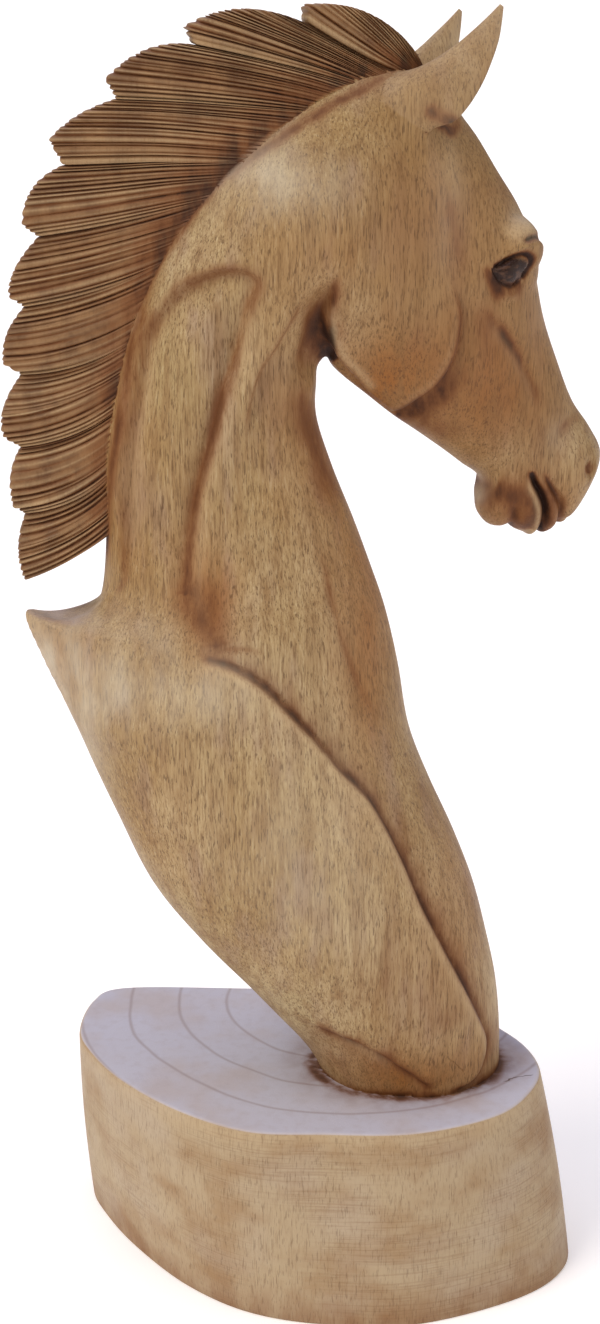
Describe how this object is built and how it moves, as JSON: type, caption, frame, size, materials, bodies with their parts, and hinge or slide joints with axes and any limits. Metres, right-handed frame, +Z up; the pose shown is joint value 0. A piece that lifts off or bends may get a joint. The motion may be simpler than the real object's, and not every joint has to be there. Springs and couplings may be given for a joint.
{
  "type": "wooden horse head sculpture",
  "caption": "Carved wooden horse head with swept mane and arched neck, cut in one piece with its low block.",
  "frame": {"origin": "on the flat underside of the block, under the middle of the bounding box", "axes": "+X the way the horse faces, +Y its left side, +Z up"},
  "size_m": [0.2726, 0.1614, 0.6],
  "materials": {
    "carved_wood": "sanded, stained and waxed to a soft satin, brown in the carved grooves"
  },
  "bodies": {
    "root": {"horse_bust_on_block": "carved_wood"}
  },
  "joints": []
}
